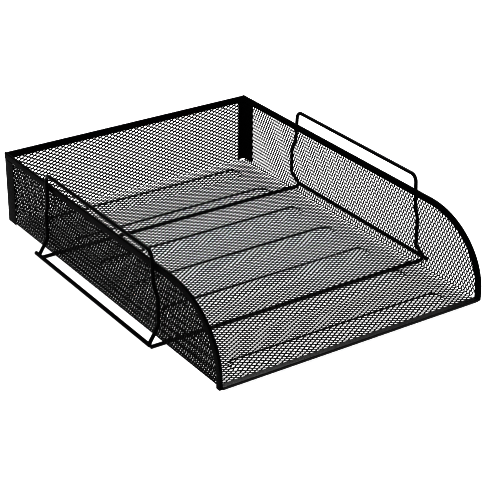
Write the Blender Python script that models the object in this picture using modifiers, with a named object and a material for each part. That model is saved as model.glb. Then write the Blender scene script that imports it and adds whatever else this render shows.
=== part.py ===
"""Stackable wire-mesh letter tray: a folded mesh basket with channel rims, carried on a bent wire frame.

Metres, +Z up, +Y towards the back, +X to the right of someone facing the open front.
The origin is on the table, under the middle of the tray.
"""

import math

import bmesh
import bpy
from mathutils import Matrix, Vector

# Overall sizes of the basket, over its rims.
TRAY_WIDTH = 0.254
TRAY_DEPTH = 0.3468
WALL_HEIGHT = 0.0665  # from the underside of the floor to the top of the rims

# Mesh basket: one sheet, folded up at the left, the right and the back.
MESH_THICKNESS = 0.0008
BEND_RADIUS = 0.0018  # to the middle of the sheet
BEND_STEPS = 4

# Ribs pressed up in the floor, across the tray.
RIB_COUNT = 7
RIB_FRONT_MARGIN = 0.0219  # from the front of the tray to the middle of the first rib
RIB_REAR_MARGIN = 0.0273  # from the middle of the last rib to the back of the tray
RIB_SIDE_MARGIN = 0.0235  # from a rib's end to the side of the tray
RIB_WIDTH = 0.0178
RIB_HEIGHT = 0.0016
RIB_FLANK = 0.0014  # plan width of a rib's sloping side
RIB_OVERLAP = 0.0002  # a rib's raised block starts this far inside the sheet
RIB_END_STEPS = 8

# Channel strip folded over the mesh edges.
CHANNEL_SHEET = 0.0005
CHANNEL_HEIGHT = 0.0060
FRONT_CURVE_LENGTH = 0.0680  # how far back the curved front of a side wall starts
FRONT_CURVE_FOOT = 0.0083  # the curve ends this far above the rim's lower end
CURVE_STEPS = 24

# Corner strips at the two rear corners.
CORNER_SIDE_FLANGE = 0.0150
CORNER_BACK_FLANGE = 0.0070
CORNER_RADIUS = 0.0012
CORNER_FOOT = 0.0010  # the strip ends this far above the underside of the floor

# Wire frame.
ARCH_WIRE = 0.0031
RAIL_WIRE = 0.0034
CROSS_WIRE = 0.0032
ARCH_RISE = 0.0103  # from the top of the rims to the middle of the arch's top bar
ARCH_STANDOFF = 0.0004  # between the rim and the arch's legs, filled by the welds
ARCH_SPLAY = 0.0002  # the top bar lies this far outside the legs' plane
ARCH_FRONT_MARGIN = 0.0922  # from the front of the tray to an arch's front leg, at the top bar
ARCH_REAR_MARGIN = 0.0842  # from an arch's rear leg to the back of the tray
JOGGLE_TOP = 0.0183  # below the top of the rims
JOGGLE_HEIGHT = 0.0092
JOGGLE_IN = 0.0008  # step of the joggle towards the mesh
JOGGLE_SPREAD = 0.0062  # its step towards the front or the back of the tray
LEAN_HEIGHT = 0.0145  # the legs lean out below this height over the underside of the floor
RAIL_OFFSET = 0.0100  # from the outside of the rim to the middle of the rail
RAIL_LIFT = 0.0012  # from the top of the cross wires to the middle of the rail
RAIL_LONG_END = 0.0060  # a rail runs this far past one leg
RAIL_SHORT_END = 0.0022  # and this far past the other
TOP_BEND_RADIUS = 0.0080
LEG_BEND_RADIUS = 0.0060
BEND_POINTS = 5
WIRE_RESOLUTION = 2
WIRE_SIDES = 2 * (WIRE_RESOLUTION + 2)

GAP = 0.0003  # between pieces that touch
CUT_MARGIN = 0.0050  # how far a cutter runs past what it cuts
WELD_DISTANCE = 1e-6  # vertices closer than this are one
SMOOTH_ANGLE = math.radians(35)  # edges sharper than this stay sharp

# Places that follow from the sizes above.
CHANNEL_WIDTH = MESH_THICKNESS + 2 * GAP + 2 * CHANNEL_SHEET
SLOT_WIDTH = MESH_THICKNESS + 2 * GAP
CROSS_TOP = CROSS_WIRE
FLOOR_UNDERSIDE = CROSS_TOP + GAP
FLOOR_MIDDLE = FLOOR_UNDERSIDE + MESH_THICKNESS / 2
FLOOR_TOP = FLOOR_UNDERSIDE + MESH_THICKNESS
RIM_TOP = FLOOR_UNDERSIDE + WALL_HEIGHT
RIM_BOTTOM = FLOOR_MIDDLE - CHANNEL_WIDTH / 2
FRONT_CURVE_HEIGHT = RIM_TOP - RIM_BOTTOM - FRONT_CURVE_FOOT
HALF_WIDTH = TRAY_WIDTH / 2
HALF_DEPTH = TRAY_DEPTH / 2
SIDE_PLANE = HALF_WIDTH - CHANNEL_WIDTH / 2
BACK_PLANE = HALF_DEPTH - CHANNEL_WIDTH / 2
ARCH_PLANE = HALF_WIDTH + ARCH_STANDOFF + ARCH_WIRE / 2
ARCH_TOP_HALF = (TRAY_DEPTH - ARCH_FRONT_MARGIN - ARCH_REAR_MARGIN) / 2
ARCH_FOOT_HALF = ARCH_TOP_HALF + JOGGLE_SPREAD
ARCH_CENTRE_Y = (ARCH_FRONT_MARGIN - ARCH_REAR_MARGIN) / 2
RIB_LENGTH = TRAY_WIDTH - 2 * RIB_SIDE_MARGIN
RIB_PITCH = (TRAY_DEPTH - RIB_FRONT_MARGIN - RIB_REAR_MARGIN) / (RIB_COUNT - 1)
RAIL_X = HALF_WIDTH + RAIL_OFFSET
RAIL_Z = CROSS_TOP + RAIL_LIFT

# Names of the left and right copies, with the side of the middle plane each lies on.
SIDES = {"left": -1, "right": 1}

# Turns local X, Y and Z to world Y, Z and X, for outlines drawn as seen from the side.
SIDE_VIEW = Matrix(((0, 0, 1, 0), (1, 0, 0, 0), (0, 1, 0, 0), (0, 0, 0, 1)))


def clear_scene():
    for obj in list(bpy.data.objects):
        bpy.data.objects.remove(obj, do_unlink=True)


def new_collection(name):
    collection = bpy.data.collections.new(name)
    bpy.context.scene.collection.children.link(collection)
    return collection


def powder_coat(name, colour, roughness):
    """Black powder-coated steel."""
    material = bpy.data.materials.new(name)
    material.use_nodes = True
    shader = material.node_tree.nodes["Principled BSDF"]
    shader.inputs["Base Color"].default_value = (*colour, 1.0)
    shader.inputs["Roughness"].default_value = roughness
    shader.inputs["Metallic"].default_value = 0.0
    return material


def add_piece(name, mesh, material, matrix=None):
    mesh.name = name
    mesh.materials.clear()
    mesh.materials.append(material)
    mesh.shade_smooth()
    mesh.set_sharp_from_angle(angle=SMOOTH_ANGLE)
    piece = bpy.data.objects.new(name, mesh)
    piece.matrix_world = matrix or Matrix.Identity(4)
    PARTS.objects.link(piece)
    return piece


def add_cutter(name, mesh, matrix=None):
    cutter = bpy.data.objects.new(name, mesh)
    cutter.matrix_world = matrix or Matrix.Identity(4)
    cutter.hide_render = True
    cutter.display_type = "WIRE"
    CUTTERS.objects.link(cutter)
    return cutter


def boolean(piece, cutter, operation):
    modifier = piece.modifiers.new(cutter.name, "BOOLEAN")
    modifier.operation = operation
    modifier.object = cutter
    modifier.solver = "EXACT"


def mesh_from_curve(curve):
    """The curve's solid as a mesh with its caps welded; the curve is removed."""
    guide = bpy.data.objects.new(curve.name, curve)
    CUTTERS.objects.link(guide)
    bpy.context.view_layer.update()
    evaluated = guide.evaluated_get(bpy.context.evaluated_depsgraph_get())
    mesh = bpy.data.meshes.new_from_object(evaluated)
    bpy.data.objects.remove(guide, do_unlink=True)
    bm = bmesh.new()
    bm.from_mesh(mesh)
    bmesh.ops.remove_doubles(bm, verts=bm.verts, dist=WELD_DISTANCE)
    bmesh.ops.recalc_face_normals(bm, faces=bm.faces)
    bm.to_mesh(mesh)
    bm.free()
    return mesh


def add_spline(curve, points, cyclic):
    spline = curve.splines.new("POLY")
    spline.points.add(len(points) - 1)
    for point, place in zip(spline.points, points):
        point.co = (*place, 1.0)
    spline.use_cyclic_u = cyclic


def plate(name, outline, half_thickness):
    """A flat outline in its own XY plane, as thick as given on both sides of it."""
    curve = bpy.data.curves.new(name, "CURVE")
    curve.dimensions = "2D"
    curve.fill_mode = "BOTH"
    curve.extrude = half_thickness
    add_spline(curve, [(x, y, 0.0) for x, y in outline], cyclic=True)
    return mesh_from_curve(curve)


def box(name, low, high):
    mesh = bpy.data.meshes.new(name)
    bm = bmesh.new()
    bmesh.ops.create_cube(bm, size=1.0)
    low, high = Vector(low), Vector(high)
    bmesh.ops.scale(bm, vec=high - low, verts=bm.verts)
    bmesh.ops.translate(bm, vec=(low + high) / 2, verts=bm.verts)
    bm.to_mesh(mesh)
    bm.free()
    return mesh


def rounded_path(corners):
    """A polyline through corners given as (place, bend radius), each bend an arc."""
    places = [Vector(place) for place, _ in corners]
    points = [places[0]]
    for before, corner, after, (_, radius) in zip(places, places[1:], places[2:], corners[1:]):
        towards = (before - corner).normalized()
        away = (after - corner).normalized()
        turn = math.pi - towards.angle(away)
        reach = radius * math.tan(turn / 2)
        middle = corner + (towards + away).normalized() * radius / math.cos(turn / 2)
        start = corner + towards * reach - middle
        finish = corner + away * reach - middle
        for step in range(BEND_POINTS + 1):
            share = step / BEND_POINTS
            arm = start * math.sin((1 - share) * turn) + finish * math.sin(share * turn)
            points.append(middle + arm / math.sin(turn))
    points.append(places[-1])
    return points


def wire(name, points, diameter, material):
    """A round wire along the points, its facets set round the given diameter with one underneath."""
    half_side = math.pi / WIRE_SIDES
    curve = bpy.data.curves.new(name, "CURVE")
    curve.dimensions = "3D"
    curve.bevel_depth = diameter / 2 / math.cos(half_side)
    curve.bevel_resolution = WIRE_RESOLUTION
    curve.use_fill_caps = True
    add_spline(curve, points, cyclic=False)
    for point in curve.splines[0].points:
        point.tilt = half_side
    return add_piece(name, mesh_from_curve(curve), material)


def fold_up(bm, edge, axis_point, axis, sense, height):
    """Bends the sheet up through a right angle from an edge of the floor, then runs it on upwards."""
    bend = bmesh.ops.spin(
        bm,
        geom=[edge],
        cent=axis_point,
        axis=axis,
        angle=sense * math.pi / 2,
        steps=BEND_STEPS,
        use_duplicate=False,
    )
    last = [item for item in bend["geom_last"] if isinstance(item, bmesh.types.BMEdge)]
    wall = bmesh.ops.extrude_edge_only(bm, edges=last)
    raised = [item for item in wall["geom"] if isinstance(item, bmesh.types.BMVert)]
    bmesh.ops.translate(bm, vec=(0, 0, height), verts=raised)


def folded_sheet():
    """The basket's sheet as an open surface, through the middle of its thickness."""
    floor_half_width = SIDE_PLANE - BEND_RADIUS
    floor_back = BACK_PLANE - BEND_RADIUS
    floor_front = -HALF_DEPTH + CHANNEL_SHEET + GAP
    wall_height = RIM_TOP - CHANNEL_SHEET - GAP - FLOOR_MIDDLE - BEND_RADIUS
    bend_height = FLOOR_MIDDLE + BEND_RADIUS

    mesh = bpy.data.meshes.new("mesh_basket")
    bm = bmesh.new()
    bmesh.ops.create_grid(bm, x_segments=1, y_segments=1, size=0.5)
    bmesh.ops.scale(bm, vec=(2 * floor_half_width, floor_back - floor_front, 1), verts=bm.verts)
    bmesh.ops.translate(bm, vec=(0, (floor_back + floor_front) / 2, FLOOR_MIDDLE), verts=bm.verts)

    def middle_of(edge):
        return (edge.verts[0].co + edge.verts[1].co) / 2

    left = min(bm.edges, key=lambda edge: middle_of(edge).x)
    right = max(bm.edges, key=lambda edge: middle_of(edge).x)
    back = max(bm.edges, key=lambda edge: middle_of(edge).y)
    fold_up(bm, left, (-floor_half_width, 0, bend_height), (0, 1, 0), 1, wall_height)
    fold_up(bm, right, (floor_half_width, 0, bend_height), (0, 1, 0), -1, wall_height)
    fold_up(bm, back, (0, floor_back, bend_height), (1, 0, 0), 1, wall_height)
    bmesh.ops.recalc_face_normals(bm, faces=bm.faces)
    bm.to_mesh(mesh)
    bm.free()
    return mesh


def side_edge(inset):
    """Top and front edge of a side wall seen from the side, moved inwards by inset: (y, z) points."""
    centre_y = -HALF_DEPTH + FRONT_CURVE_LENGTH
    centre_z = RIM_TOP - FRONT_CURVE_HEIGHT
    points = [(HALF_DEPTH, RIM_TOP - inset)]
    for step in range(CURVE_STEPS + 1):
        angle = math.pi / 2 * step / CURVE_STEPS
        y = -FRONT_CURVE_LENGTH * math.sin(angle)
        z = FRONT_CURVE_HEIGHT * math.cos(angle)
        normal = Vector((y / FRONT_CURVE_LENGTH**2, z / FRONT_CURVE_HEIGHT**2)).normalized()
        points.append((centre_y + y - inset * normal.x, centre_z + z - inset * normal.y))
    points.append((-HALF_DEPTH + inset, RIM_BOTTOM))
    return points


def stadium(length, width):
    """A long outline with round ends."""
    radius = width / 2
    points = []
    for end in (1, -1):
        for step in range(RIB_END_STEPS + 1):
            angle = math.pi * (step / RIB_END_STEPS - 0.5)
            x = end * (length / 2 - radius + radius * math.cos(angle))
            points.append((x, end * radius * math.sin(angle)))
    return points


def rib_body(name, shrink, low, high):
    """A rib's tapered block, from low to high; shrink makes it smaller all round."""
    length = RIB_LENGTH - 2 * shrink
    width = RIB_WIDTH - 2 * shrink
    mesh = plate(name, stadium(length, width), (high - low) / 2)
    top_scale = Vector((1 - 2 * RIB_FLANK / length, 1 - 2 * RIB_FLANK / width))
    for vertex in mesh.vertices:
        if vertex.co.z > 0:
            vertex.co.x *= top_scale.x
            vertex.co.y *= top_scale.y
        vertex.co.z += (low + high) / 2
    return mesh


def make_basket(material):
    basket = add_piece("mesh_basket", folded_sheet(), material)
    solidify = basket.modifiers.new("thickness", "SOLIDIFY")
    solidify.thickness = MESH_THICKNESS
    solidify.offset = 0.0
    solidify.use_even_offset = True

    # The curved front of both side walls.
    edge = side_edge(CHANNEL_SHEET + GAP)
    beyond = [
        (-HALF_DEPTH - CUT_MARGIN, RIM_BOTTOM),
        (-HALF_DEPTH - CUT_MARGIN, RIM_TOP + CUT_MARGIN),
        (HALF_DEPTH, RIM_TOP + CUT_MARGIN),
    ]
    front = plate("front_curve", edge + beyond, HALF_WIDTH + CUT_MARGIN)
    boolean(basket, add_cutter("front_curve", front, SIDE_VIEW), "DIFFERENCE")

    # Notches at the front corners, where the rims meet the front strip.
    notch_top = FLOOR_MIDDLE + BEND_RADIUS + MESH_THICKNESS
    notch_back = -HALF_DEPTH + CHANNEL_HEIGHT + GAP
    notch_inside = HALF_WIDTH - CHANNEL_WIDTH - GAP
    for side, sign in SIDES.items():
        near, far = sorted((sign * notch_inside, sign * (HALF_WIDTH + CUT_MARGIN)))
        low = (near, -HALF_DEPTH - CUT_MARGIN, 0)
        high = (far, notch_back, notch_top)
        name = f"front_notch_{side}"
        boolean(basket, add_cutter(name, box(name, low, high)), "DIFFERENCE")

    # Each rib is a raised block, hollowed from below by one a sheet's thickness smaller.
    block_low = FLOOR_TOP - RIB_OVERLAP
    block_high = FLOOR_TOP + RIB_HEIGHT
    inner_low = FLOOR_UNDERSIDE - MESH_THICKNESS
    inner_high = FLOOR_UNDERSIDE + RIB_HEIGHT
    for index in range(RIB_COUNT):
        y = -HALF_DEPTH + RIB_FRONT_MARGIN + RIB_PITCH * index
        place = Matrix.Translation((0, y, 0))
        block = rib_body(f"rib_{index}", 0.0, block_low, block_high)
        boolean(basket, add_cutter(f"rib_{index}", block, place), "UNION")
        hollow = rib_body(f"rib_hollow_{index}", MESH_THICKNESS, inner_low, inner_high)
        boolean(basket, add_cutter(f"rib_hollow_{index}", hollow, place), "DIFFERENCE")


def make_side_rims(material):
    """A channel that follows the top and the curved front of each side wall."""
    band = side_edge(0.0) + side_edge(CHANNEL_HEIGHT)[::-1]
    slot = side_edge(CHANNEL_SHEET) + side_edge(CHANNEL_HEIGHT + CUT_MARGIN)[::-1]
    slot[0] = (slot[0][0] + CUT_MARGIN, slot[0][1])
    slot[-1] = (slot[-1][0] + CUT_MARGIN, slot[-1][1])
    for side, sign in SIDES.items():
        place = Matrix.Translation((sign * SIDE_PLANE, 0, 0)) @ SIDE_VIEW
        name = f"rim_{side}"
        rim = add_piece(name, plate(name, band, CHANNEL_WIDTH / 2), material, place)
        cutter = add_cutter(f"{name}_slot", plate(f"{name}_slot", slot, SLOT_WIDTH / 2), place)
        boolean(rim, cutter, "DIFFERENCE")


def channel_section():
    """The channel's U section, closed at the origin and open along -Y."""
    outer = CHANNEL_WIDTH / 2
    inner = SLOT_WIDTH / 2
    return [
        (-outer, -CHANNEL_HEIGHT),
        (-inner, -CHANNEL_HEIGHT),
        (-inner, -CHANNEL_SHEET),
        (inner, -CHANNEL_SHEET),
        (inner, -CHANNEL_HEIGHT),
        (outer, -CHANNEL_HEIGHT),
        (outer, 0.0),
        (-outer, 0.0),
    ]


def make_straight_channels(back_material, front_material):
    """The back rim and the strip along the floor's front edge, between the side rims."""
    half_length = HALF_WIDTH - CHANNEL_WIDTH - GAP
    back_place = Matrix.Translation((0, BACK_PLANE, RIM_TOP)) @ SIDE_VIEW
    add_piece("rim_back", plate("rim_back", channel_section(), half_length), back_material, back_place)
    turn = Matrix.Rotation(math.pi / 2, 4, "X")
    front_place = Matrix.Translation((0, -HALF_DEPTH, FLOOR_MIDDLE)) @ turn @ SIDE_VIEW
    front_strip = plate("front_strip", channel_section(), half_length)
    add_piece("front_strip", front_strip, front_material, front_place)


def make_corner_strips(material):
    """An angle strip outside each rear corner, which joins the side wall to the back wall."""
    top = RIM_TOP - CHANNEL_HEIGHT - GAP
    bottom = FLOOR_UNDERSIDE + CORNER_FOOT
    bend = []
    for step in range(BEND_POINTS + 1):
        angle = math.pi / 2 * step / BEND_POINTS
        bend.append((math.cos(angle), math.sin(angle)))
    centre_x = HALF_WIDTH - CORNER_RADIUS
    centre_y = HALF_DEPTH - CORNER_RADIUS
    inner_radius = CORNER_RADIUS - CHANNEL_SHEET
    outside = [(centre_x + CORNER_RADIUS * x, centre_y + CORNER_RADIUS * y) for x, y in bend]
    inside = [(centre_x + inner_radius * x, centre_y + inner_radius * y) for x, y in bend]
    outline = (
        [(HALF_WIDTH - CHANNEL_SHEET, HALF_DEPTH - CORNER_SIDE_FLANGE)]
        + [(HALF_WIDTH, HALF_DEPTH - CORNER_SIDE_FLANGE)]
        + outside
        + [(HALF_WIDTH - CORNER_BACK_FLANGE, HALF_DEPTH)]
        + [(HALF_WIDTH - CORNER_BACK_FLANGE, HALF_DEPTH - CHANNEL_SHEET)]
        + inside[::-1]
    )
    place = Matrix.Translation((0, 0, (top + bottom) / 2))
    for side, sign in SIDES.items():
        name = f"corner_strip_{side}"
        points = [(sign * x, y) for x, y in outline]
        add_piece(name, plate(name, points, (top - bottom) / 2), material, place)


def arch_path(sign):
    """From the rear foot on the rail, up the rear leg, along the top bar and down to the front foot."""
    foot_x = ARCH_PLANE - JOGGLE_IN
    lean_top = FLOOR_UNDERSIDE + LEAN_HEIGHT
    joggle_top = RIM_TOP - JOGGLE_TOP
    joggle_bottom = joggle_top - JOGGLE_HEIGHT
    lean = Vector((RAIL_X - foot_x, 0, RAIL_Z - lean_top))
    reach = lean.length - RAIL_WIRE / 2 - GAP
    foot = Vector((foot_x, 0, lean_top)) + lean.normalized() * reach
    leg = [
        (foot.x, ARCH_FOOT_HALF, foot.z, 0.0),
        (foot_x, ARCH_FOOT_HALF, lean_top, LEG_BEND_RADIUS),
        (foot_x, ARCH_FOOT_HALF, joggle_bottom, LEG_BEND_RADIUS),
        (ARCH_PLANE, ARCH_TOP_HALF, joggle_top, LEG_BEND_RADIUS),
        (ARCH_PLANE + ARCH_SPLAY, ARCH_TOP_HALF, RIM_TOP + ARCH_RISE, TOP_BEND_RADIUS),
    ]
    corners = [((sign * x, ARCH_CENTRE_Y + y, z), radius) for x, y, z, radius in leg]
    corners += [((sign * x, ARCH_CENTRE_Y - y, z), radius) for x, y, z, radius in leg[::-1]]
    return rounded_path(corners)


def make_wire_frame(arch_material, rail_material, cross_material):
    feet = {"rear": ARCH_CENTRE_Y + ARCH_FOOT_HALF, "front": ARCH_CENTRE_Y - ARCH_FOOT_HALF}

    # The cross wires lie under the floor and stop against the rails.
    to_rail = math.sqrt((RAIL_WIRE / 2 + GAP) ** 2 - RAIL_LIFT**2)
    half_length = RAIL_X - to_rail
    for end, y in feet.items():
        ends = [(-half_length, y, CROSS_WIRE / 2), (half_length, y, CROSS_WIRE / 2)]
        wire(f"cross_wire_{end}", ends, CROSS_WIRE, cross_material)

    # Each rail runs further past one leg: the left one at the back, the right one at the front.
    for side, sign in SIDES.items():
        wire(f"arch_{side}", arch_path(sign), ARCH_WIRE, arch_material)
        past_rear = RAIL_LONG_END if side == "left" else RAIL_SHORT_END
        past_front = RAIL_SHORT_END if side == "left" else RAIL_LONG_END
        x = sign * RAIL_X
        ends = [(x, feet["front"] - past_front, RAIL_Z), (x, feet["rear"] + past_rear, RAIL_Z)]
        wire(f"rail_{side}", ends, RAIL_WIRE, rail_material)


clear_scene()
PARTS = new_collection("letter_tray")
CUTTERS = new_collection("cutters")

make_basket(powder_coat("mesh_black", (0.020, 0.020, 0.021), 0.50))
make_side_rims(powder_coat("side_rim_black", (0.018, 0.018, 0.019), 0.42))
make_straight_channels(
    powder_coat("back_rim_black", (0.018, 0.018, 0.019), 0.42),
    powder_coat("front_strip_black", (0.020, 0.020, 0.021), 0.40),
)
make_corner_strips(powder_coat("corner_black", (0.018, 0.018, 0.019), 0.44))
make_wire_frame(
    powder_coat("arch_black", (0.016, 0.016, 0.017), 0.35),
    powder_coat("rail_black", (0.016, 0.016, 0.017), 0.36),
    powder_coat("cross_wire_black", (0.016, 0.016, 0.017), 0.38),
)
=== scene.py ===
"""Looks of the wire-mesh letter tray: expanded steel mesh, folded channels and bent wire, powder coated.

Metres, +Z up, +Y towards the back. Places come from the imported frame, and only sizes too fine for it
are set here.
"""

import math

import bmesh
import bpy
import numpy as np
from mathutils import Matrix, Vector, noise


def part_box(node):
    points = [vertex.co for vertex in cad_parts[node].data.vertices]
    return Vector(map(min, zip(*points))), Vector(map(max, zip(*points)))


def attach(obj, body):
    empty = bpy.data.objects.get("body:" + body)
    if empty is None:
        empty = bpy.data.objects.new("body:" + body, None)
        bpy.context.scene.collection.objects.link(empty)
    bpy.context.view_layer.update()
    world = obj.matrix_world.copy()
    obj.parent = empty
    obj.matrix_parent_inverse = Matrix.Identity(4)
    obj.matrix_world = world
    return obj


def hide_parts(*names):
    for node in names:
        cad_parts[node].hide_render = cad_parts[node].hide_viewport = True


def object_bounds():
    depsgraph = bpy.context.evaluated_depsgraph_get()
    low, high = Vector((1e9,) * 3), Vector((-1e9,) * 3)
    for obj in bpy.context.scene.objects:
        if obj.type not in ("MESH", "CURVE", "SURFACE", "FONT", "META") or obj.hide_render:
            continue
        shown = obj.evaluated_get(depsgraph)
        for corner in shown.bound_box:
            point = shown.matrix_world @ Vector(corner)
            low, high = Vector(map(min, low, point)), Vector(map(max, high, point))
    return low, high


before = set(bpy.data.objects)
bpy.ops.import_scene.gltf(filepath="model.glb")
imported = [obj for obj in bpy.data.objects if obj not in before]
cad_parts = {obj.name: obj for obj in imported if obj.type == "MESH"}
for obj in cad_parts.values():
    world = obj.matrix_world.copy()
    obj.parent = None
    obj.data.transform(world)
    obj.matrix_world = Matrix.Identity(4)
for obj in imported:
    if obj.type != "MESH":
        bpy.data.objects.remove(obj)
cad_low, cad_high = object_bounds()

# Places from the frame.
BASKET_LOW, BASKET_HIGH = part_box("mesh_basket")
RIM_LOW, RIM_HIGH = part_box("rim_right")
STRIP_LOW, STRIP_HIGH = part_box("front_strip")
BACK_RIM_LOW, BACK_RIM_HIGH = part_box("rim_back")
CORNER_LOW, CORNER_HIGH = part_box("corner_strip_right")
ARCH_LOW, ARCH_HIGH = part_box("arch_right")
RAIL_LOW, RAIL_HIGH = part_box("rail_right")
CROSS_LOW, CROSS_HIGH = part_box("cross_wire_front")
REAR_CROSS_LOW, REAR_CROSS_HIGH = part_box("cross_wire_rear")
SIDES = {"left": -1, "right": 1}
GAP = 0.0003  # between the mesh's edge and the channel round it
TOLERANCE = 1e-6

# Expanded mesh.
MESH_THICKNESS = 0.0008
BEND_RADIUS = 0.0018  # to the middle of the sheet
DIAMOND_LONG = 0.0063  # pitch along a diamond's long way, across the tray
DIAMOND_SHORT = 0.00343  # pitch along its short way, front to back
STRAND_WIDTH = 0.00100
STRAND_TILT = 0.00010  # each strand's edges lie this far above and below the sheet's middle
END_TILT = 0.35  # share of that tilt at a diamond's ends
WALL_STRAND = (0.00020, 0.00013)  # half a strand's thickness along its middle and at its edges
FLOOR_STRAND = (0.00031, 0.00018)  # the floor's strands keep more of the coat
HOLE_BLUNTNESS = 0.80  # share of a diamond hole's long half axis that its blunt end leaves
FLOOR_MIDDLE = BASKET_LOW.z + MESH_THICKNESS / 2
SIDE_PLANE = BASKET_HIGH.x - MESH_THICKNESS / 2
BACK_PLANE = BASKET_HIGH.y - MESH_THICKNESS / 2
FLOOR_HALF_WIDTH = SIDE_PLANE - BEND_RADIUS
FLOOR_BACK = BACK_PLANE - BEND_RADIUS
BEND_LENGTH = BEND_RADIUS * math.pi / 2
WALL_STRAIGHT = BASKET_HIGH.z - FLOOR_MIDDLE - BEND_RADIUS
WALL_WAVE = 0.00015  # how far the walls wander from flat
WALL_WAVE_TURNS = (61.0, 43.0)  # radians per metre, along and up
FLOOR_WAVE = 0.00014  # how far the floor does
FLOOR_WAVE_FADE = 0.02  # it dies out this near the floor's front and back
# Each: share, radians per metre front to back, sway, the sway's radians per metre across, and its start.
FLOOR_WAVES = (
    (1.0, 190.0, 1.6, 17.0, 0.0),
    (0.6, 307.0, 1.9, 29.0, 1.0),
)

# Ribs pressed up in the floor.
RIB_COUNT = 7
RIB_PITCH = 0.0496
RIB_LENGTH = 0.2070
RIB_WIDTH = 0.0178
RIB_HEIGHT = 0.0028
RIB_FLANK = 0.0016  # at the back and the ends
RIB_RAMP = 0.0145  # a rib climbs this slowly from its front edge
RIB_STEP = 0.12  # share of its height that it has just behind that edge
RIB_ROW_OFFSET = -0.0027

# Channel strip.
CHANNEL_SHEET = 0.0005
CHANNEL_OUTER_RADIUS = 0.0008
CHANNEL_PINCH = 0.00012  # the lips lean in this much
FRONT_CURVE_LENGTH = 0.0680
FRONT_CURVE_HEIGHT = 0.0590
CURVE_STEPS = 72
RIM_END_RADIUS = 0.0020
RIM_END_STEPS = 8
CORNER_RADIUS = 0.0012
CHANNEL_HEIGHT = STRIP_HIGH.y - STRIP_LOW.y
CHANNEL_WIDTH = RIM_HIGH.x - RIM_LOW.x

# Wire frame.
ARCH_WIRE = 0.0031
RAIL_WIRE = 0.0034
CROSS_WIRE = 0.0032
ARCH_STANDOFF = 0.0004  # between the rim and the arch's legs, filled by the welds
ARCH_SPLAY = 0.0002
JOGGLE_TOP = 0.0183
JOGGLE_HEIGHT = 0.0092
JOGGLE_IN = 0.0008
JOGGLE_SPREAD = 0.0062  # the legs stand this much further apart below the joggle, on each side
LEG_SPLAY = 0.0018  # of which the straight legs have spread this much above it
LEAN_HEIGHT = 0.0145
TOP_BEND_RADIUS = 0.0065
JOGGLE_BEND_RADIUS = 0.0100
LEAN_BEND_RADIUS = 0.0060
BEND_STEPS = 12
WIRE_SIDES = 24
WIRE_END_ROUNDING = 0.35  # share of a wire's radius broken off its cut ends
WIRE_END_STEPS = 4

# Weld beads, as half extents, and where they sit.
WELD_FOOT = (0.0013, 0.0021, 0.0011)
WELD_FOOT_IN = 0.0012  # from the rail's middle
WELD_FOOT_UP = 0.0016
WELD_CROSS = (0.0010, 0.0020, 0.0013)
WELD_CROSS_IN = 0.0019  # from the rail's middle
WELD_CROSS_DOWN = 0.0004  # from halfway between the rail's middle and the cross wire's
WELD_RIM = (0.0008, 0.0018, 0.0022)
WELD_RIM_OUT = 0.0001  # from the rim's outer face
WELD_RIM_DEPTH = 0.55  # share of the channel's height
WELD_FLOOR = (0.0024, 0.0019, 0.0005)
WELD_FLOOR_IN = 0.0030  # from the floor's edge
WELD_FLOOR_DOWN = 0.0001
WELD_LUMP = 0.16  # how far a bead swells and shrinks, as a share of its size
WELD_LUMP_PITCH = 1.7

# Powder coats. Shade is the albedo, grain the orange peel's noise scale, and wear how thin edges are rubbed,
# set high as a painted highlight.
COATS = {
    "mesh": dict(shade=0.0030, roughness=0.46, grain=900.0, seed=1.0, specular=0.03),
    "side_rim": dict(shade=0.0022, roughness=0.44, grain=700.0, seed=2.0, specular=0.015),
    "back_rim": dict(shade=0.0022, roughness=0.44, grain=700.0, seed=3.0, specular=0.015),
    # The front strip's lighter shade and raised wear paint a highlight over the whole strip.
    "front_strip": dict(shade=0.0050, roughness=0.44, grain=700.0, seed=4.0, specular=0.14, wear_and_highlight=0.4),
    "corner": dict(shade=0.0035, roughness=0.46, grain=700.0, seed=5.0, specular=0.025),
    "arch": dict(shade=0.0022, roughness=0.36, grain=800.0, seed=6.0, specular=0.03),
    "rail": dict(shade=0.0022, roughness=0.38, grain=800.0, seed=7.0, specular=0.03),
    "cross_wire": dict(shade=0.0040, roughness=0.40, grain=800.0, seed=8.0, specular=0.10),
    "weld": dict(shade=0.0026, roughness=0.42, grain=1500.0, seed=9.0, specular=0.03),
}
CLOUD_SCALE = 45.0
SPECK_SCALE = 2600.0
PEEL_STRENGTH = 0.30
PEEL_DEPTH = 0.00006
DUST_LIFT = (0.009, 0.0085, 0.0075)  # how much lighter than the coat dust makes it
WORN_AND_HIGHLIGHT_LIFT = (0.006, 0.018)  # and rubbed edges, at least and at most; the same lift paints a highlight where wear is set high

# Camera, lights and stage.
CAMERA_PLACE = (-0.6821, -1.0244, 0.6311)
CAMERA_AZIMUTH = math.radians(34.06)
CAMERA_TILT = math.radians(26.50)
CAMERA_ROLL = math.radians(0.35)
CAMERA_LENS = 119.0
FLOOR_SIZE = 30.0
FLOOR_DROP = 0.00005
FLOOR_GLOW = 0.62  # a table lit from below
SKY_BRIGHT_BELOW = 0.10  # sine of the elevation
SKY_DIM_ABOVE = 0.35
SKY_DIM = 0.10
LIGHTS = (  # name, place, size and power, all turned to the origin
    ("key", (-0.9, -1.1, 1.8), (1.0, 1.0), 10.0),
    ("fill", (1.6, -0.4, 1.4), (1.0, 0.8), 7.0),
    ("back", (0.5, 1.1, 1.5), (0.7, 0.5), 26.0),
)
VIEW_LOOK = "High Contrast"
PIXEL_FILTER = 0.9  # in pixels: strands this fine blur away under a wider one


# ---------------------------------------------------------------- materials


def node(tree, kind, **settings):
    made = tree.nodes.new(kind)
    for name, value in settings.items():
        setattr(made, name, value)
    return made


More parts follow.
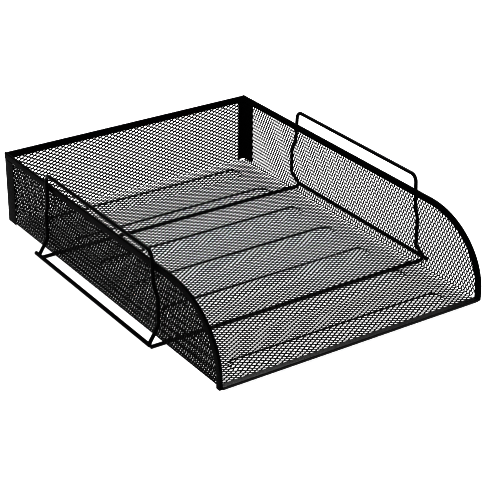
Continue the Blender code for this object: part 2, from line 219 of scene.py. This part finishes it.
def noise_texture(tree, place, scale, detail, roughness=0.5):
    made = node(tree, "ShaderNodeTexNoise")
    made.inputs["Scale"].default_value = scale
    made.inputs["Detail"].default_value = detail
    made.inputs["Roughness"].default_value = roughness
    tree.links.new(place, made.inputs["Vector"])
    return made.outputs["Fac"]


def ramp(tree, value, low, high, low_colour, high_colour):
    made = node(tree, "ShaderNodeValToRGB")
    made.color_ramp.elements[0].position = low
    made.color_ramp.elements[1].position = high
    made.color_ramp.elements[0].color = (*low_colour, 1.0)
    made.color_ramp.elements[1].color = (*high_colour, 1.0)
    tree.links.new(value, made.inputs["Fac"])
    return made.outputs["Color"]


def remap(tree, value, from_low, from_high, to_low, to_high):
    made = node(tree, "ShaderNodeMapRange", clamp=True)
    limits = {"From Min": from_low, "From Max": from_high, "To Min": to_low, "To Max": to_high}
    for name, number in limits.items():
        made.inputs[name].default_value = number
    tree.links.new(value, made.inputs["Value"])
    return made.outputs["Result"]


def mix_colour(tree, share, first, second):
    made = node(tree, "ShaderNodeMix", data_type="RGBA")
    tree.links.new(share, made.inputs[0])
    tree.links.new(first, made.inputs[6])
    tree.links.new(second, made.inputs[7])
    return made.outputs[2]


def multiply(tree, first, second):
    made = node(tree, "ShaderNodeMath", operation="MULTIPLY")
    tree.links.new(first, made.inputs[0])
    tree.links.new(second, made.inputs[1])
    return made.outputs[0]


def powder_coat(kind, shade, roughness, grain, seed, specular, wear_and_highlight=0.12):
    """Black powder coat: fine orange peel, cloudy gloss, light dust on top and edges rubbed thin, the
    rubbing lift also a painted highlight where wear is set high.
    """
    material = bpy.data.materials.new(f"{kind}_coat")
    material.use_nodes = True
    tree = material.node_tree
    shader = tree.nodes["Principled BSDF"]
    shader.inputs["Specular IOR Level"].default_value = specular

    source = node(tree, "ShaderNodeTexCoord")
    shift = node(tree, "ShaderNodeMapping")
    shift.inputs["Location"].default_value = (seed * 0.37, seed * 0.91, seed * 0.53)
    tree.links.new(source.outputs["Object"], shift.inputs["Vector"])
    place = shift.outputs["Vector"]
    peel = noise_texture(tree, place, grain, 3.0, 0.55)
    cloud = noise_texture(tree, place, CLOUD_SCALE, 4.0)
    specks = noise_texture(tree, place, SPECK_SCALE, 2.0, 0.7)
    geometry = node(tree, "ShaderNodeNewGeometry")
    split = node(tree, "ShaderNodeSeparateXYZ")
    tree.links.new(geometry.outputs["Normal"], split.inputs["Vector"])

    dark = tuple(shade * tint for tint in (0.86, 0.86, 0.88))
    light = tuple(shade * tint for tint in (1.18, 1.17, 1.16))
    coat = ramp(tree, cloud, 0.35, 0.68, dark, light)
    dust_colour = ramp(tree, specks, 0.40, 0.75, dark, tuple(shade + lift for lift in DUST_LIFT))
    upward = remap(tree, split.outputs["Z"], 0.55, 1.0, 0.0, 0.45)
    dusty = mix_colour(tree, multiply(tree, upward, cloud), coat, dust_colour)
    # Rubbed edges by pointiness; set high, as on the front strip, this lightening is a painted highlight
    # over the piece.
    rubbed_and_highlight = remap(tree, geometry.outputs["Pointiness"], 0.56, 0.68, 0.0, wear_and_highlight)
    least_worn_and_lit, most_worn_and_lit = [(shade + lift,) * 3 for lift in WORN_AND_HIGHLIGHT_LIFT]
    worn_and_highlight_colour = ramp(tree, specks, 0.30, 0.70, least_worn_and_lit, most_worn_and_lit)
    colour = mix_colour(tree, multiply(tree, rubbed_and_highlight, peel), dusty, worn_and_highlight_colour)
    tree.links.new(colour, shader.inputs["Base Color"])
    gloss = remap(tree, cloud, 0.30, 0.72, roughness - 0.06, roughness + 0.08)
    tree.links.new(gloss, shader.inputs["Roughness"])

    fine = node(tree, "ShaderNodeBump")
    fine.inputs["Strength"].default_value = PEEL_STRENGTH
    fine.inputs["Distance"].default_value = PEEL_DEPTH
    tree.links.new(peel, fine.inputs["Height"])
    tree.links.new(fine.outputs["Normal"], shader.inputs["Normal"])
    return material


def pale_floor():
    material = bpy.data.materials.new("pale_floor")
    material.use_nodes = True
    shader = material.node_tree.nodes["Principled BSDF"]
    shader.inputs["Base Color"].default_value = (0.60, 0.60, 0.60, 1.0)
    shader.inputs["Emission Color"].default_value = (1.0, 1.0, 1.0, 1.0)
    shader.inputs["Emission Strength"].default_value = FLOOR_GLOW
    shader.inputs["Roughness"].default_value = 0.9
    shader.inputs["Specular IOR Level"].default_value = 0.0
    return material


# ---------------------------------------------------------------- building pieces


def add_piece(name, vertices, faces, material, slot, replaces=(), smooth_angle=40.0):
    mesh = bpy.data.meshes.new(name)
    mesh.from_pydata(vertices, [], faces)
    mesh.materials.append(material)
    mesh.shade_smooth()
    if smooth_angle < 180.0:
        mesh.set_sharp_from_angle(angle=math.radians(smooth_angle))
    piece = bpy.data.objects.new(name, mesh)
    bpy.context.scene.collection.objects.link(piece)
    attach(piece, "root")
    if replaces:
        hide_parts(*replaces)
    return piece


def loft(rings):
    """Vertices and faces of a closed skin over rings of as many points each, with flat end caps."""
    rings = np.asarray(rings, float)
    count, around = rings.shape[:2]
    index = np.arange(count * around).reshape(count, around)
    following = np.roll(index, -1, axis=1)
    sides = np.stack([index[:-1], following[:-1], following[1:], index[1:]], axis=-1).reshape(-1, 4)
    faces = sides.tolist() + [index[0][::-1].tolist(), index[-1].tolist()]
    return rings.reshape(-1, 3).tolist(), faces


def face_out(piece):
    """Turns a closed piece's faces outwards."""
    bm = bmesh.new()
    bm.from_mesh(piece.data)
    bmesh.ops.recalc_face_normals(bm, faces=bm.faces)
    bm.to_mesh(piece.data)
    bm.free()
    return piece


def arc(centre, radius, start, finish, steps):
    angles = np.radians(np.linspace(start, finish, steps + 1))
    return [(centre[0] + radius * math.cos(a), centre[1] + radius * math.sin(a)) for a in angles]


# ---------------------------------------------------------------- expanded mesh

SHEET_HALF_WIDTH = FLOOR_HALF_WIDTH + BEND_LENGTH + WALL_STRAIGHT
SHEET_FRONT = BASKET_LOW.y
SHEET_REAR = FLOOR_BACK + BEND_LENGTH + WALL_STRAIGHT
HALF_LONG = SHEET_HALF_WIDTH / round(2 * SHEET_HALF_WIDTH / DIAMOND_LONG)
HALF_SHORT = (SHEET_REAR - SHEET_FRONT) / round(2 * (SHEET_REAR - SHEET_FRONT) / DIAMOND_SHORT)


def ease(share):
    """0 to 1, level at both ends."""
    share = np.clip(share, 0, 1)
    return share * share * (3 - 2 * share)


def rib_rise(u, v):
    """Height of the floor's pressed ribs over the flat sheet."""
    rise = np.zeros_like(u)
    half_run = (RIB_LENGTH - RIB_WIDTH) / 2
    for number in range(RIB_COUNT):
        past = v - RIB_ROW_OFFSET - RIB_PITCH * (number - (RIB_COUNT - 1) / 2)
        distance = np.hypot(np.maximum(np.abs(u) - half_run, 0), past)
        flank = ease((RIB_WIDTH / 2 - distance) / RIB_FLANK)
        ramp_up = np.clip((past + RIB_WIDTH / 2) / RIB_RAMP, 0, 1)
        rise = np.maximum(rise, RIB_HEIGHT * flank * (RIB_STEP + (1 - RIB_STEP) * ramp_up))
    return rise


def floor_wave(u, v):
    """Long shallow waves along the ribs, zero at the floor's edges."""
    across = 1 - np.clip(np.abs(u) / FLOOR_HALF_WIDTH, 0, 1) ** 6
    along = np.clip((v - SHEET_FRONT) / FLOOR_WAVE_FADE, 0, 1)
    along = along * np.clip((FLOOR_BACK - v) / FLOOR_WAVE_FADE, 0, 1)
    wave = np.zeros_like(u)
    for share, turns, sway, sway_turns, start in FLOOR_WAVES:
        wave = wave + share * np.sin(v * turns + sway * np.sin(u * sway_turns + start))
    return FLOOR_WAVE * wave * across * along


def wander(u, v, seed):
    """A slow wave that keeps the walls from being dead flat."""
    along, up = WALL_WAVE_TURNS
    return WALL_WAVE * np.sin(u * along + seed) * np.sin(v * up + 2.1 * seed)


def on_floor(u, v, inwards):
    return np.stack([u, v, FLOOR_MIDDLE + inwards + rib_rise(u, v) + floor_wave(u, v)], axis=-1)


def bent(distance, inwards):
    """How far out and up a sheet point lies, by its distance past the bend's start and its height."""
    turn = np.clip(distance / BEND_RADIUS, 0, math.pi / 2)
    past = np.maximum(distance - BEND_LENGTH, 0)
    out = (BEND_RADIUS - inwards) * np.sin(turn) + np.minimum(distance, 0)
    up = BEND_RADIUS - (BEND_RADIUS - inwards) * np.cos(turn) + past
    return out, up


def on_side(u, v, inwards):
    side = np.sign(u)
    distance = np.abs(u) - FLOOR_HALF_WIDTH
    rise = np.clip(distance / WALL_STRAIGHT, 0, 1)
    waved = inwards + wander(distance, v, 1.0 + side.mean()) * np.sin(rise * math.pi)
    out, up = bent(distance, waved)
    return np.stack([side * (FLOOR_HALF_WIDTH + out), v, FLOOR_MIDDLE + up], axis=-1)


def on_back(u, v, inwards):
    distance = v - FLOOR_BACK
    rise = np.clip(distance / WALL_STRAIGHT, 0, 1)
    waved = inwards + wander(u, distance, 0.4) * np.sin(rise * math.pi)
    out, up = bent(distance, waved)
    return np.stack([u, FLOOR_BACK + out, FLOOR_MIDDLE + up], axis=-1)


def inside_front_curve(v, height):
    """Whether a side wall point lies inside the channel's slot, seen from the side."""
    inset = CHANNEL_SHEET + GAP
    along = np.minimum(v - (RIM_LOW.y + FRONT_CURVE_LENGTH), 0) / (FRONT_CURVE_LENGTH - inset)
    above = np.maximum(height - (RIM_HIGH.z - FRONT_CURVE_HEIGHT), 0) / (FRONT_CURVE_HEIGHT - inset)
    return np.hypot(along, above) <= 1


def lattice(keep):
    """Whole-number centres (i, j), i + j even, of the diamonds whose four corners pass keep(u, v)."""
    across = round(SHEET_HALF_WIDTH / HALF_LONG)
    along = round((SHEET_REAR - SHEET_FRONT) / HALF_SHORT)
    i, j = np.meshgrid(np.arange(-across, across + 1), np.arange(0, along + 1), indexing="ij")
    i, j = i.ravel(), j.ravel()
    chosen = (i + j) % 2 == 0
    i, j = i[chosen], j[chosen]
    passed = np.ones(len(i), bool)
    for step_i, step_j in ((1, 0), (0, 1), (-1, 0), (0, -1)):
        passed &= keep((i + step_i) * HALF_LONG, SHEET_FRONT + (j + step_j) * HALF_SHORT)
    return np.stack([i[passed], j[passed]], axis=-1)


def hole_outline():
    """Six corners of a diamond's hole, anticlockwise from the right end's upper one, and each one's tilt."""
    reach = HALF_LONG * HALF_SHORT / math.hypot(HALF_LONG, HALF_SHORT)
    share = (reach - STRAND_WIDTH / 2) / reach
    long_half, short_half = HALF_LONG * share, HALF_SHORT * share
    end = long_half * HOLE_BLUNTNESS
    rise = short_half * (1 - HOLE_BLUNTNESS)
    outline = [(end, rise), (0, short_half), (-end, rise), (-end, -rise), (0, -short_half), (end, -rise)]
    tilt = [END_TILT, 1, END_TILT, -END_TILT, -1, -END_TILT]
    return np.array(outline), STRAND_TILT * np.array(tilt)


def expanded_mesh(name, centres, place, material, strand=WALL_STRAND):
    """A sheet of diamonds, each strand a ridge shared by two of them and tilted as stretched steel is."""
    count = len(centres)
    steps = np.array([(1, 0), (0, 1), (-1, 0), (0, -1)])
    corners = (centres[:, None, :] + steps).reshape(-1, 2)
    knots, corner_of = np.unique(corners, axis=0, return_inverse=True)
    top = corner_of.reshape(count, 4)
    bottom = top + len(knots)
    knot_u, knot_v = knots[:, 0] * HALF_LONG, SHEET_FRONT + knots[:, 1] * HALF_SHORT
    ridge, edge = strand
    half = np.full(len(knots), ridge)

    outline, tilt = hole_outline()
    hole_u = centres[:, :1] * HALF_LONG + outline[:, 0]
    hole_v = SHEET_FRONT + centres[:, 1:] * HALF_SHORT + outline[:, 1]
    tilt = np.broadcast_to(tilt, hole_u.shape)
    vertices = np.concatenate(
        [
            place(knot_u, knot_v, half),
            place(knot_u, knot_v, -half),
            place(hole_u, hole_v, tilt + edge).reshape(-1, 3),
            place(hole_u, hole_v, tilt - edge).reshape(-1, 3),
        ]
    )
    upper = 2 * len(knots) + np.arange(6 * count).reshape(count, 6)
    lower = upper + 6 * count

    # Corners: 0 right, 1 rear, 2 left, 3 front. Hole corners as in hole_outline.
    quads, triangles = [], []
    sides = ((0, 1, 1, 0), (1, 2, 2, 1), (2, 3, 4, 3), (3, 0, 5, 4))
    for ring, knot, turn in ((upper, top, 1), (lower, bottom, -1)):
        for first, second, inner_second, inner_first in sides:
            face = [knot[:, first], knot[:, second], ring[:, inner_second], ring[:, inner_first]]
            quads.append(np.stack(face[::turn], axis=-1))
        for end, inner_first, inner_second in ((2, 3, 2), (0, 0, 5)):
            face = [knot[:, end], ring[:, inner_first], ring[:, inner_second]]
            triangles.append(np.stack(face[::turn], axis=-1))
    for first in range(6):
        second = (first + 1) % 6
        face = [upper[:, first], upper[:, second], lower[:, second], lower[:, first]]
        quads.append(np.stack(face, axis=-1))

    # The cut edge of the sheet, where a strand has a diamond on one side only.
    edges = np.concatenate([np.stack([top[:, k], top[:, (k + 1) % 4]], axis=-1) for k in range(4)])
    _, shared, uses = np.unique(np.sort(edges, axis=1), axis=0, return_inverse=True, return_counts=True)
    cut = edges[uses[shared.ravel()] == 1]
    quads.append(np.stack([cut[:, 0], cut[:, 0] + len(knots), cut[:, 1] + len(knots), cut[:, 1]], axis=-1))
    faces = np.concatenate(quads).tolist() + np.concatenate(triangles).tolist()
    return add_piece(name, vertices.tolist(), faces, material, "mesh", ["mesh_basket"], smooth_angle=180.0)


def make_basket(material):
    mouth = STRIP_HIGH.y + GAP
    wing_rear = BACK_PLANE - MESH_THICKNESS
    middle_row = SHEET_FRONT + HALF_SHORT * round((FLOOR_BACK - SHEET_FRONT) / HALF_SHORT / 2)
    wall_start = FLOOR_HALF_WIDTH + BEND_LENGTH

    def in_floor(u, v):
        along = (v <= FLOOR_BACK + TOLERANCE) & (v >= SHEET_FRONT - TOLERANCE)
        return along & (np.abs(u) <= FLOOR_HALF_WIDTH + HALF_LONG)

    floor = lattice(in_floor)
    floor = floor[np.abs(floor[:, 0] * HALF_LONG) <= FLOOR_HALF_WIDTH]
    rear = SHEET_FRONT + floor[:, 1] * HALF_SHORT > middle_row

    def on_bent_floor(u, v, inwards):
        """The floor, whose last diamonds start up the side bends."""
        flat = on_floor(u, v, inwards)
        raised = on_side(u, v, inwards)
        return np.where((np.abs(u) > FLOOR_HALF_WIDTH)[..., None], raised, flat)

    # At the front corners the mesh stops short of the place where rim and strip meet.
    def clear_of_corner(centres):
        u = np.abs(centres[:, 0] * HALF_LONG)
        v = SHEET_FRONT + centres[:, 1] * HALF_SHORT
        beside_bend = (u < FLOOR_HALF_WIDTH - HALF_LONG) | (u > wall_start + HALF_LONG)
        return centres[(v > mouth + HALF_SHORT) | beside_bend]

    expanded_mesh("mesh_floor_front", clear_of_corner(floor[~rear]), on_bent_floor, material, FLOOR_STRAND)
    expanded_mesh("mesh_floor_rear", floor[rear], on_bent_floor, material, FLOOR_STRAND)

    taken = {tuple(centre) for centre in floor.tolist()}

    def not_in_floor(centres):
        return np.array([centre for centre in centres.tolist() if tuple(centre) not in taken])

    for side, sign in SIDES.items():

        def in_wing(u, v, sign=sign):
            distance = sign * u - FLOOR_HALF_WIDTH
            height = FLOOR_MIDDLE + BEND_RADIUS + np.maximum(distance - BEND_LENGTH, 0)
            low_and_rear = (distance < 0) & (v > FLOOR_BACK + TOLERANCE)
            reach = (distance > -HALF_LONG * 1.5) & (v >= SHEET_FRONT - TOLERANCE) & (v <= wing_rear)
            return reach & ~low_and_rear & inside_front_curve(v, height)

        centres = clear_of_corner(not_in_floor(lattice(in_wing)))
        expanded_mesh(f"mesh_{side}", centres, on_side, material)

    def in_back(u, v):
        wall = v > FLOOR_BACK + BEND_LENGTH
        reach = np.where(wall, SIDE_PLANE - MESH_THICKNESS, FLOOR_HALF_WIDTH)
        along = (v > FLOOR_BACK - HALF_SHORT * 2 - TOLERANCE) & (v <= SHEET_REAR + TOLERANCE)
        return along & (np.abs(u) <= reach)

    expanded_mesh("mesh_back", not_in_floor(lattice(in_back)), on_back, material)


# ---------------------------------------------------------------- channels and corner strips


def channel_outline():
    """The folded channel's section: (sideways, depth below the fold) points, clockwise from the left lip."""
    outer, inner = CHANNEL_WIDTH / 2, CHANNEL_WIDTH / 2 - CHANNEL_SHEET
    radius, inner_radius = CHANNEL_OUTER_RADIUS, CHANNEL_OUTER_RADIUS - CHANNEL_SHEET
    lip = CHANNEL_HEIGHT - CHANNEL_SHEET / 2
    left_fold = arc((-outer + radius, -radius), radius, 180, 90, 8)
    right_fold = arc((outer - radius, -radius), radius, 90, 0, 8)
    right_lip = arc((outer - CHANNEL_SHEET / 2 - CHANNEL_PINCH, -lip), CHANNEL_SHEET / 2, 0, -180, 6)
    right_inner = arc((inner - inner_radius, -CHANNEL_SHEET - inner_radius), inner_radius, 0, 90, 4)
    left_inner = arc((-inner + inner_radius, -CHANNEL_SHEET - inner_radius), inner_radius, 90, 180, 4)
    left_lip = arc((-outer + CHANNEL_SHEET / 2 + CHANNEL_PINCH, -lip), CHANNEL_SHEET / 2, 0, -180, 6)
    points = left_fold + right_fold + right_lip + right_inner + left_inner + left_lip
    return [(x, -y) for x, y in points]


def rim_path():
    """(place, outward direction) pairs in side view, from a side rim's rear end down to the front corner."""
    centre = Vector((RIM_LOW.y + FRONT_CURVE_LENGTH, RIM_HIGH.z - FRONT_CURVE_HEIGHT))
    path = [(Vector((RIM_HIGH.y, RIM_HIGH.z)), Vector((0, 1)))]
    for step in range(CURVE_STEPS + 1):
        angle = math.pi / 2 * step / CURVE_STEPS
        arm = Vector((-FRONT_CURVE_LENGTH * math.sin(angle), FRONT_CURVE_HEIGHT * math.cos(angle)))
        outward = Vector((arm.x / FRONT_CURVE_LENGTH**2, arm.y / FRONT_CURVE_HEIGHT**2)).normalized()
        path.append((centre + arm, outward))
    for step in range(RIM_END_STEPS + 1):
        rise = RIM_END_RADIUS * (1 - math.sin(math.pi / 2 * step / RIM_END_STEPS))
        path.append((Vector((RIM_LOW.y, RIM_LOW.z + rise)), Vector((-1, 0))))
    return path


def rim_end_depth(place):
    """How far the rim's outer face is rounded back at its lower end."""
    share = min(max((place.y - RIM_LOW.z) / RIM_END_RADIUS, 0), 1)
    return RIM_END_RADIUS * (1 - math.sqrt(1 - (1 - share) ** 2))


def make_channels(side_material, back_material, strip_material):
    outline = channel_outline()
    middle_x = (RIM_LOW.x + RIM_HIGH.x) / 2
    for side, sign in SIDES.items():
        rings = []
        for place, outward in rim_path():
            rounded = rim_end_depth(place)
            ring = [(place - outward * max(depth, rounded), x) for x, depth in outline]
            rings.append([(sign * middle_x + x, point.x, point.y) for point, x in ring])
        piece = add_piece(f"rim_{side}_channel", *loft(rings), side_material, "side_rim", [f"rim_{side}"])
        face_out(piece)

    ends = (BACK_RIM_LOW.x, BACK_RIM_HIGH.x)
    middle_y = (BACK_RIM_LOW.y + BACK_RIM_HIGH.y) / 2
    rings = [[(end, middle_y + x, BACK_RIM_HIGH.z - depth) for x, depth in outline] for end in ends]
    face_out(add_piece("rim_back_channel", *loft(rings), back_material, "back_rim", ["rim_back"]))

    ends = (STRIP_LOW.x, STRIP_HIGH.x)
    middle_z = (STRIP_LOW.z + STRIP_HIGH.z) / 2
    rings = [[(end, STRIP_LOW.y + depth, middle_z + x) for x, depth in outline] for end in ends]
    face_out(add_piece("front_strip_channel", *loft(rings), strip_material, "front_strip", ["front_strip"]))


def make_corner_strips(material):
    """An angle strip round each rear corner, its long edges rounded."""
    outer_x, outer_y = CORNER_HIGH.x, CORNER_HIGH.y
    inner_radius = CORNER_RADIUS - CHANNEL_SHEET
    centre = (outer_x - CORNER_RADIUS, outer_y - CORNER_RADIUS)
    middle = CHANNEL_SHEET / 2
    outline = arc((outer_x - middle, CORNER_LOW.y + middle), middle, 180, 360, 6)
    outline += arc(centre, CORNER_RADIUS, 0, 90, 10)
    outline += arc((CORNER_LOW.x + middle, outer_y - middle), middle, 90, 270, 6)
    outline += arc(centre, inner_radius, 90, 0, 6)
    for side, sign in SIDES.items():
        heights = (CORNER_LOW.z, CORNER_HIGH.z)
        rings = [[(sign * x, y, z) for x, y in outline] for z in heights]
        replaced = [f"corner_strip_{side}"]
        face_out(add_piece(f"corner_{side}_angle", *loft(rings), material, "corner_strip", replaced))


# ---------------------------------------------------------------- wires


def rounded_path(corners):
    """A polyline through corners given as (place, bend radius), each bend an arc."""
    places = [Vector(place) for place, _ in corners]
    points = [places[0]]
    for before, corner, after, (_, radius) in zip(places, places[1:], places[2:], corners[1:]):
        towards = (before - corner).normalized()
        away = (after - corner).normalized()
        turn = math.pi - towards.angle(away)
        reach = radius * math.tan(turn / 2)
        middle = corner + (towards + away).normalized() * radius / math.cos(turn / 2)
        start = corner + towards * reach - middle
        finish = corner + away * reach - middle
        for step in range(BEND_STEPS + 1):
            share = step / BEND_STEPS
            arm = start * math.sin((1 - share) * turn) + finish * math.sin(share * turn)
            points.append(middle + arm / math.sin(turn))
    points.append(places[-1])
    return points


def wire(name, points, diameter, material, slot, replaces):
    """A round wire along the points, its cut ends broken by a small rounding."""
    points = [Vector(point) for point in points]
    directions = [(after - before).normalized() for before, after in zip(points, points[1:])]
    between = [(before + after).normalized() for before, after in zip(directions, directions[1:])]
    directions = [directions[0]] + between + [directions[-1]]
    radius = diameter / 2
    rounding = radius * WIRE_END_ROUNDING
    body = [(point, direction, radius) for point, direction in zip(points[1:-1], directions[1:-1])]
    start = [(points[0] + directions[0] * rounding, directions[0], radius)]
    finish = [(points[-1] - directions[-1] * rounding, directions[-1], radius)]
    round_start, round_finish = [], []
    for step in range(1, WIRE_END_STEPS + 1):
        angle = math.pi / 2 * step / WIRE_END_STEPS
        inwards = rounding * (1 - math.sin(angle))
        narrow = radius - rounding * (1 - math.cos(angle))
        round_start.append((points[0] + directions[0] * inwards, directions[0], narrow))
        round_finish.append((points[-1] - directions[-1] * inwards, directions[-1], narrow))
    stations = round_start[::-1] + start + body + finish + round_finish
    side = directions[0].orthogonal().normalized()
    rings = []
    previous = directions[0]
    for place, direction, size in stations:
        side = previous.rotation_difference(direction) @ side
        previous = direction
        other = direction.cross(side)
        angles = [2 * math.pi * k / WIRE_SIDES for k in range(WIRE_SIDES)]
        rings.append([place + (side * math.cos(a) + other * math.sin(a)) * size for a in angles])
    return face_out(add_piece(name, *loft(rings), material, slot, replaces))


def arch_path(sign):
    """From the rear foot, up the rear leg, along the top bar and down to the front foot."""
    rail_x = (RAIL_LOW.x + RAIL_HIGH.x) / 2
    rail_z = (RAIL_LOW.z + RAIL_HIGH.z) / 2
    plane = RIM_HIGH.x + ARCH_STANDOFF + ARCH_WIRE / 2
    top_x = plane + ARCH_SPLAY
    foot_x = plane - JOGGLE_IN
    top_z = ARCH_HIGH.z - ARCH_WIRE / 2
    centre_y = (ARCH_LOW.y + ARCH_HIGH.y) / 2
    foot_half = centre_y - (CROSS_LOW.y + CROSS_HIGH.y) / 2
    top_half = foot_half - JOGGLE_SPREAD
    joggle_top = RIM_HIGH.z - JOGGLE_TOP
    joggle_bottom = joggle_top - JOGGLE_HEIGHT
    lean_top = BASKET_LOW.z + LEAN_HEIGHT
    lean = Vector((rail_x - foot_x, 0, rail_z - lean_top))
    foot = Vector((foot_x, 0, lean_top)) + lean.normalized() * (lean.length - RAIL_WIRE / 2)
    leg = [
        (foot.x, foot_half, foot.z, 0.0),
        (foot_x, foot_half, lean_top, LEAN_BEND_RADIUS),
        (foot_x, foot_half, joggle_bottom, JOGGLE_BEND_RADIUS),
        (plane, top_half + LEG_SPLAY, joggle_top, JOGGLE_BEND_RADIUS),
        (top_x, top_half, top_z, TOP_BEND_RADIUS),
    ]
    corners = [((sign * x, centre_y + y, z), radius) for x, y, z, radius in leg]
    corners += [((sign * x, centre_y - y, z), radius) for x, y, z, radius in leg[::-1]]
    return rounded_path(corners)


def make_wires(arch_material, rail_material, cross_material):
    for side, sign in SIDES.items():
        wire(f"arch_{side}_wire", arch_path(sign), ARCH_WIRE, arch_material, "arch", [f"arch_{side}"])
        low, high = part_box(f"rail_{side}")
        x, z = (low.x + high.x) / 2, (low.z + high.z) / 2
        ends = [(x, low.y, z), (x, high.y, z)]
        wire(f"rail_{side}_wire", ends, RAIL_WIRE, rail_material, "rail", [f"rail_{side}"])
    for end in ("front", "rear"):
        low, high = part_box(f"cross_wire_{end}")
        y, z = (low.y + high.y) / 2, (low.z + high.z) / 2
        ends = [(low.x, y, z), (high.x, y, z)]
        wire(f"cross_{end}_wire", ends, CROSS_WIRE, cross_material, "cross_wire", [f"cross_wire_{end}"])


def weld_bead(name, place, size, material, seed):
    """A small coated weld: a lumpy rounded form, size being its half extents."""
    mesh = bpy.data.meshes.new(name)
    bm = bmesh.new()
    bmesh.ops.create_icosphere(bm, subdivisions=3, radius=1.0)
    for vertex in bm.verts:
        lump = noise.noise(vertex.co * WELD_LUMP_PITCH + Vector((seed * 3.1, seed * 1.7, seed)))
        vertex.co *= 1 + WELD_LUMP * lump
        vertex.co = Vector((vertex.co.x * size[0], vertex.co.y * size[1], vertex.co.z * size[2]))
    bm.to_mesh(mesh)
    bm.free()
    mesh.materials.append(material)
    mesh.shade_smooth()
    piece = bpy.data.objects.new(name, mesh)
    piece.location = place
    bpy.context.scene.collection.objects.link(piece)
    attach(piece, "root")
    return piece


def make_welds(material):
    """Beads where the wires meet each other, the rims and the floor's edges."""
    arch_y = {"rear": (REAR_CROSS_LOW.y + REAR_CROSS_HIGH.y) / 2, "front": (CROSS_LOW.y + CROSS_HIGH.y) / 2}
    cross_z = (CROSS_LOW.z + CROSS_HIGH.z) / 2
    seed = 0
    for side, sign in SIDES.items():
        low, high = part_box(f"rail_{side}")
        rail_x, rail_z = (low.x + high.x) / 2, (low.z + high.z) / 2
        for end, y in arch_y.items():
            seed += 1
            towards_leg = y + (JOGGLE_SPREAD if end == "front" else -JOGGLE_SPREAD)
            foot = (rail_x - sign * WELD_FOOT_IN, y, rail_z + WELD_FOOT_UP)
            weld_bead(f"weld_foot_{side}_{end}", foot, WELD_FOOT, material, seed)
            butt = (rail_x - sign * WELD_CROSS_IN, y, (rail_z + cross_z) / 2 - WELD_CROSS_DOWN)
            weld_bead(f"weld_cross_{side}_{end}", butt, WELD_CROSS, material, seed + 20)
            rim_z = RIM_HIGH.z - CHANNEL_HEIGHT * WELD_RIM_DEPTH
            rim = (sign * (RIM_HIGH.x + WELD_RIM_OUT), towards_leg, rim_z)
            weld_bead(f"weld_rim_{side}_{end}", rim, WELD_RIM, material, seed + 40)
            edge = (sign * (FLOOR_HALF_WIDTH - WELD_FLOOR_IN), y, BASKET_LOW.z - WELD_FLOOR_DOWN)
            weld_bead(f"weld_floor_{side}_{end}", edge, WELD_FLOOR, material, seed + 60)


# ---------------------------------------------------------------- stage


def make_stage():
    size = FLOOR_SIZE / 2
    mesh = bpy.data.meshes.new("floor")
    z = cad_low.z - FLOOR_DROP
    corners = [(-size, -size, z), (size, -size, z), (size, size, z), (-size, size, z)]
    mesh.from_pydata(corners, [], [(0, 1, 2, 3)])
    mesh.materials.append(pale_floor())
    floor = bpy.data.objects.new("floor", mesh)
    bpy.context.scene.collection.objects.link(floor)


def area_light(name, place, size, power):
    """A rectangular lamp turned to the origin."""
    light = bpy.data.lights.new(name, "AREA")
    light.shape = "RECTANGLE"
    light.size, light.size_y = size
    light.energy = power
    lamp = bpy.data.objects.new(name, light)
    lamp.location = place
    lamp.rotation_euler = (Vector((0, 0, 0)) - Vector(place)).to_track_quat("-Z", "Y").to_euler()
    bpy.context.scene.collection.objects.link(lamp)


def make_lights():
    world = bpy.data.worlds.new("studio")
    bpy.context.scene.world = world
    world.use_nodes = True
    background = world.node_tree.nodes["Background"]
    tree = world.node_tree
    source = node(tree, "ShaderNodeTexCoord")
    split = node(tree, "ShaderNodeSeparateXYZ")
    tree.links.new(source.outputs["Generated"], split.inputs["Vector"])
    sky = ramp(tree, split.outputs["Z"], SKY_BRIGHT_BELOW, SKY_DIM_ABOVE, (1.0, 1.0, 1.0), (SKY_DIM,) * 3)
    tree.links.new(sky, background.inputs["Color"])
    background.inputs["Strength"].default_value = 1.0
    for name, place, size, power in LIGHTS:
        area_light(name, place, size, power)


def make_camera():
    ahead = Vector(
        (
            math.sin(CAMERA_AZIMUTH) * math.cos(CAMERA_TILT),
            math.cos(CAMERA_AZIMUTH) * math.cos(CAMERA_TILT),
            -math.sin(CAMERA_TILT),
        )
    )
    level = ahead.cross(Vector((0, 0, 1))).normalized()
    upright = level.cross(ahead)
    right = level * math.cos(CAMERA_ROLL) + upright * math.sin(CAMERA_ROLL)
    up = upright * math.cos(CAMERA_ROLL) - level * math.sin(CAMERA_ROLL)
    data = bpy.data.cameras.new("camera")
    data.lens = CAMERA_LENS
    camera = bpy.data.objects.new("camera", data)
    bpy.context.scene.collection.objects.link(camera)
    turn = Matrix((right, up, -ahead)).transposed()
    camera.matrix_world = Matrix.Translation(CAMERA_PLACE) @ turn.to_4x4()
    bpy.context.scene.camera = camera


def set_view():
    scene = bpy.context.scene
    scene.view_settings.view_transform = "Standard"
    scene.view_settings.look = VIEW_LOOK
    scene.cycles.filter_width = PIXEL_FILTER


make_stage()
make_camera()
make_lights()
set_view()
coat = {kind: powder_coat(kind, **settings) for kind, settings in COATS.items()}
make_basket(coat["mesh"])
make_channels(coat["side_rim"], coat["back_rim"], coat["front_strip"])
make_corner_strips(coat["corner"])
make_wires(coat["arch"], coat["rail"], coat["cross_wire"])
make_welds(coat["weld"])
